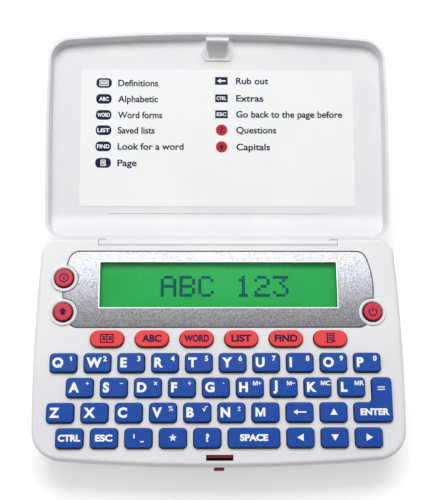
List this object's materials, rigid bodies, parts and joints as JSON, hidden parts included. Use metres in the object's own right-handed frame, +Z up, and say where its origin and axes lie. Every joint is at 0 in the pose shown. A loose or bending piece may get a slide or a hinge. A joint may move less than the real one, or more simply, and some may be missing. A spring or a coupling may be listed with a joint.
{
  "type": "electronic dictionary",
  "caption": "Pocket electronic dictionary lying open: wedge-sided base with a bowed front, keyboard and wide display, and a shallow hinged lid with a latch hook.",
  "frame": {"origin": "centre of the base's underside, on the raised field that it rests on", "axes": "+X to the user's right along the keyboard, +Y away from the user towards the hinge and the open lid, +Z up from the keyboard"},
  "size_m": [0.1322, 0.1638, 0.0296],
  "materials": {
    "case": "fine satin off-white",
    "silver": "silver flake paint",
    "window": "clear acrylic",
    "lcd": "green liquid crystal glass",
    "blue_keys": "satin blue",
    "oval_keys": "satin red",
    "round_keys": "satin crimson",
    "latch": "satin dark red",
    "board": "green solder mask",
    "key_mat": "matt silicone",
    "cell": "plain dark sleeve",
    "contacts": "nickel plate",
    "screws": "zinc plate"
  },
  "bodies": {
    "base": {"lower_case": "case", "upper_case": "case", "display_bezel": "silver", "display_window": "window", "lcd_module": "lcd", "circuit_board": "board", "key_mat": "key_mat", "batteries": "cell", "battery_contacts": "contacts", "case_screws": "screws"},
    "lid": {"lid": "case"},
    "battery_door": {"battery_door": "case"},
    "latch_button": {"latch_button": "latch"},
    "key_q": {"key_q": "blue_keys"},
    "key_w": {"key_w": "blue_keys"},
    "key_e": {"key_e": "blue_keys"},
    "key_r": {"key_r": "blue_keys"},
    "key_t": {"key_t": "blue_keys"},
    "key_y": {"key_y": "blue_keys"},
    "key_u": {"key_u": "blue_keys"},
    "key_i": {"key_i": "blue_keys"},
    "key_o": {"key_o": "blue_keys"},
    "key_p": {"key_p": "blue_keys"},
    "key_a": {"key_a": "blue_keys"},
    "key_s": {"key_s": "blue_keys"},
    "key_d": {"key_d": "blue_keys"},
    "key_f": {"key_f": "blue_keys"},
    "key_g": {"key_g": "blue_keys"},
    "key_h": {"key_h": "blue_keys"},
    "key_j": {"key_j": "blue_keys"},
    "key_k": {"key_k": "blue_keys"},
    "key_l": {"key_l": "blue_keys"},
    "key_z": {"key_z": "blue_keys"},
    "key_x": {"key_x": "blue_keys"},
    "key_c": {"key_c": "blue_keys"},
    "key_v": {"key_v": "blue_keys"},
    "key_b": {"key_b": "blue_keys"},
    "key_n": {"key_n": "blue_keys"},
    "key_m": {"key_m": "blue_keys"},
    "key_backspace": {"key_backspace": "blue_keys"},
    "key_up": {"key_up": "blue_keys"},
    "key_ctrl": {"key_ctrl": "blue_keys"},
    "key_esc": {"key_esc": "blue_keys"},
    "key_apostrophe": {"key_apostrophe": "blue_keys"},
    "key_star": {"key_star": "blue_keys"},
    "key_question": {"key_question": "blue_keys"},
    "key_left": {"key_left": "blue_keys"},
    "key_down": {"key_down": "blue_keys"},
    "key_right": {"key_right": "blue_keys"},
    "key_space": {"key_space": "blue_keys"},
    "key_enter": {"key_enter": "blue_keys"},
    "key_book": {"key_book": "oval_keys"},
    "key_abc": {"key_abc": "oval_keys"},
    "key_word": {"key_word": "oval_keys"},
    "key_list": {"key_list": "oval_keys"},
    "key_find": {"key_find": "oval_keys"},
    "key_page": {"key_page": "oval_keys"},
    "key_info": {"key_info": "round_keys"},
    "key_shift": {"key_shift": "round_keys"},
    "key_power": {"key_power": "round_keys"}
  },
  "joints": [
    {"name": "lid_hinge", "type": "hinge", "parent": "base", "child": "lid", "pos_m": [0, 0.0396, 0.0166], "axis": [1, 0, 0], "range_deg": [0, 172]},
    {"name": "battery_door_slide", "type": "slide", "parent": "base", "child": "battery_door", "axis": [0, 0, -1], "range_m": [0, 0.02]},
    {"name": "latch_slide", "type": "slide", "parent": "base", "child": "latch_button", "axis": [0, 1, 0], "range_m": [0, 0.0008], "stiffness_N_per_m": 800},
    {"name": "key_q_press", "type": "slide", "parent": "base", "child": "key_q", "axis": [0, 0, -1], "range_m": [0, 0.0008], "stiffness_N_per_m": 600, "deforming": ["key_mat"]},
    {"name": "key_w_press", "type": "slide", "parent": "base", "child": "key_w", "axis": [0, 0, -1], "range_m": [0, 0.0008], "stiffness_N_per_m": 600, "deforming": ["key_mat"]},
    {"name": "key_e_press", "type": "slide", "parent": "base", "child": "key_e", "axis": [0, 0, -1], "range_m": [0, 0.0008], "stiffness_N_per_m": 600, "deforming": ["key_mat"]},
    {"name": "key_r_press", "type": "slide", "parent": "base", "child": "key_r", "axis": [0, 0, -1], "range_m": [0, 0.0008], "stiffness_N_per_m": 600, "deforming": ["key_mat"]},
    {"name": "key_t_press", "type": "slide", "parent": "base", "child": "key_t", "axis": [0, 0, -1], "range_m": [0, 0.0008], "stiffness_N_per_m": 600, "deforming": ["key_mat"]},
    {"name": "key_y_press", "type": "slide", "parent": "base", "child": "key_y", "axis": [0, 0, -1], "range_m": [0, 0.0008], "stiffness_N_per_m": 600, "deforming": ["key_mat"]},
    {"name": "key_u_press", "type": "slide", "parent": "base", "child": "key_u", "axis": [0, 0, -1], "range_m": [0, 0.0008], "stiffness_N_per_m": 600, "deforming": ["key_mat"]},
    {"name": "key_i_press", "type": "slide", "parent": "base", "child": "key_i", "axis": [0, 0, -1], "range_m": [0, 0.0008], "stiffness_N_per_m": 600, "deforming": ["key_mat"]},
    {"name": "key_o_press", "type": "slide", "parent": "base", "child": "key_o", "axis": [0, 0, -1], "range_m": [0, 0.0008], "stiffness_N_per_m": 600, "deforming": ["key_mat"]},
    {"name": "key_p_press", "type": "slide", "parent": "base", "child": "key_p", "axis": [0, 0, -1], "range_m": [0, 0.0008], "stiffness_N_per_m": 600, "deforming": ["key_mat"]},
    {"name": "key_a_press", "type": "slide", "parent": "base", "child": "key_a", "axis": [0, 0, -1], "range_m": [0, 0.0008], "stiffness_N_per_m": 600, "deforming": ["key_mat"]},
    {"name": "key_s_press", "type": "slide", "parent": "base", "child": "key_s", "axis": [0, 0, -1], "range_m": [0, 0.0008], "stiffness_N_per_m": 600, "deforming": ["key_mat"]},
    {"name": "key_d_press", "type": "slide", "parent": "base", "child": "key_d", "axis": [0, 0, -1], "range_m": [0, 0.0008], "stiffness_N_per_m": 600, "deforming": ["key_mat"]},
    {"name": "key_f_press", "type": "slide", "parent": "base", "child": "key_f", "axis": [0, 0, -1], "range_m": [0, 0.0008], "stiffness_N_per_m": 600, "deforming": ["key_mat"]},
    {"name": "key_g_press", "type": "slide", "parent": "base", "child": "key_g", "axis": [0, 0, -1], "range_m": [0, 0.0008], "stiffness_N_per_m": 600, "deforming": ["key_mat"]},
    {"name": "key_h_press", "type": "slide", "parent": "base", "child": "key_h", "axis": [0, 0, -1], "range_m": [0, 0.0008], "stiffness_N_per_m": 600, "deforming": ["key_mat"]},
    {"name": "key_j_press", "type": "slide", "parent": "base", "child": "key_j", "axis": [0, 0, -1], "range_m": [0, 0.0008], "stiffness_N_per_m": 600, "deforming": ["key_mat"]},
    {"name": "key_k_press", "type": "slide", "parent": "base", "child": "key_k", "axis": [0, 0, -1], "range_m": [0, 0.0008], "stiffness_N_per_m": 600, "deforming": ["key_mat"]},
    {"name": "key_l_press", "type": "slide", "parent": "base", "child": "key_l", "axis": [0, 0, -1], "range_m": [0, 0.0008], "stiffness_N_per_m": 600, "deforming": ["key_mat"]},
    {"name": "key_z_press", "type": "slide", "parent": "base", "child": "key_z", "axis": [0, 0, -1], "range_m": [0, 0.0008], "stiffness_N_per_m": 600, "deforming": ["key_mat"]},
    {"name": "key_x_press", "type": "slide", "parent": "base", "child": "key_x", "axis": [0, 0, -1], "range_m": [0, 0.0008], "stiffness_N_per_m": 600, "deforming": ["key_mat"]},
    {"name": "key_c_press", "type": "slide", "parent": "base", "child": "key_c", "axis": [0, 0, -1], "range_m": [0, 0.0008], "stiffness_N_per_m": 600, "deforming": ["key_mat"]},
    {"name": "key_v_press", "type": "slide", "parent": "base", "child": "key_v", "axis": [0, 0, -1], "range_m": [0, 0.0008], "stiffness_N_per_m": 600, "deforming": ["key_mat"]},
    {"name": "key_b_press", "type": "slide", "parent": "base", "child": "key_b", "axis": [0, 0, -1], "range_m": [0, 0.0008], "stiffness_N_per_m": 600, "deforming": ["key_mat"]},
    {"name": "key_n_press", "type": "slide", "parent": "base", "child": "key_n", "axis": [0, 0, -1], "range_m": [0, 0.0008], "stiffness_N_per_m": 600, "deforming": ["key_mat"]},
    {"name": "key_m_press", "type": "slide", "parent": "base", "child": "key_m", "axis": [0, 0, -1], "range_m": [0, 0.0008], "stiffness_N_per_m": 600, "deforming": ["key_mat"]},
    {"name": "key_backspace_press", "type": "slide", "parent": "base", "child": "key_backspace", "axis": [0, 0, -1], "range_m": [0, 0.0008], "stiffness_N_per_m": 600, "deforming": ["key_mat"]},
    {"name": "key_up_press", "type": "slide", "parent": "base", "child": "key_up", "axis": [0, 0, -1], "range_m": [0, 0.0008], "stiffness_N_per_m": 600, "deforming": ["key_mat"]},
    {"name": "key_ctrl_press", "type": "slide", "parent": "base", "child": "key_ctrl", "axis": [0, 0, -1], "range_m": [0, 0.0008], "stiffness_N_per_m": 600, "deforming": ["key_mat"]},
    {"name": "key_esc_press", "type": "slide", "parent": "base", "child": "key_esc", "axis": [0, 0, -1], "range_m": [0, 0.0008], "stiffness_N_per_m": 600, "deforming": ["key_mat"]},
    {"name": "key_apostrophe_press", "type": "slide", "parent": "base", "child": "key_apostrophe", "axis": [0, 0, -1], "range_m": [0, 0.0008], "stiffness_N_per_m": 600, "deforming": ["key_mat"]},
    {"name": "key_star_press", "type": "slide", "parent": "base", "child": "key_star", "axis": [0, 0, -1], "range_m": [0, 0.0008], "stiffness_N_per_m": 600, "deforming": ["key_mat"]},
    {"name": "key_question_press", "type": "slide", "parent": "base", "child": "key_question", "axis": [0, 0, -1], "range_m": [0, 0.0008], "stiffness_N_per_m": 600, "deforming": ["key_mat"]},
    {"name": "key_left_press", "type": "slide", "parent": "base", "child": "key_left", "axis": [0, 0, -1], "range_m": [0, 0.0008], "stiffness_N_per_m": 600, "deforming": ["key_mat"]},
    {"name": "key_down_press", "type": "slide", "parent": "base", "child": "key_down", "axis": [0, 0, -1], "range_m": [0, 0.0008], "stiffness_N_per_m": 600, "deforming": ["key_mat"]},
    {"name": "key_right_press", "type": "slide", "parent": "base", "child": "key_right", "axis": [0, 0, -1], "range_m": [0, 0.0008], "stiffness_N_per_m": 600, "deforming": ["key_mat"]},
    {"name": "key_space_press", "type": "slide", "parent": "base", "child": "key_space", "axis": [0, 0, -1], "range_m": [0, 0.0008], "stiffness_N_per_m": 600, "deforming": ["key_mat"]},
    {"name": "key_enter_press", "type": "slide", "parent": "base", "child": "key_enter", "axis": [0, 0, -1], "range_m": [0, 0.0008], "stiffness_N_per_m": 600, "deforming": ["key_mat"]},
    {"name": "key_book_press", "type": "slide", "parent": "base", "child": "key_book", "axis": [0, 0, -1], "range_m": [0, 0.0008], "stiffness_N_per_m": 600, "deforming": ["key_mat"]},
    {"name": "key_abc_press", "type": "slide", "parent": "base", "child": "key_abc", "axis": [0, 0, -1], "range_m": [0, 0.0008], "stiffness_N_per_m": 600, "deforming": ["key_mat"]},
    {"name": "key_word_press", "type": "slide", "parent": "base", "child": "key_word", "axis": [0, 0, -1], "range_m": [0, 0.0008], "stiffness_N_per_m": 600, "deforming": ["key_mat"]},
    {"name": "key_list_press", "type": "slide", "parent": "base", "child": "key_list", "axis": [0, 0, -1], "range_m": [0, 0.0008], "stiffness_N_per_m": 600, "deforming": ["key_mat"]},
    {"name": "key_find_press", "type": "slide", "parent": "base", "child": "key_find", "axis": [0, 0, -1], "range_m": [0, 0.0008], "stiffness_N_per_m": 600, "deforming": ["key_mat"]},
    {"name": "key_page_press", "type": "slide", "parent": "base", "child": "key_page", "axis": [0, 0, -1], "range_m": [0, 0.0008], "stiffness_N_per_m": 600, "deforming": ["key_mat"]},
    {"name": "key_info_press", "type": "slide", "parent": "base", "child": "key_info", "axis": [0, 0, -1], "range_m": [0, 0.0008], "stiffness_N_per_m": 600, "deforming": ["key_mat"]},
    {"name": "key_shift_press", "type": "slide", "parent": "base", "child": "key_shift", "axis": [0, 0, -1], "range_m": [0, 0.0008], "stiffness_N_per_m": 600, "deforming": ["key_mat"]},
    {"name": "key_power_press", "type": "slide", "parent": "base", "child": "key_power", "axis": [0, 0, -1], "range_m": [0, 0.0008], "stiffness_N_per_m": 600, "deforming": ["key_mat"]}
  ]
}
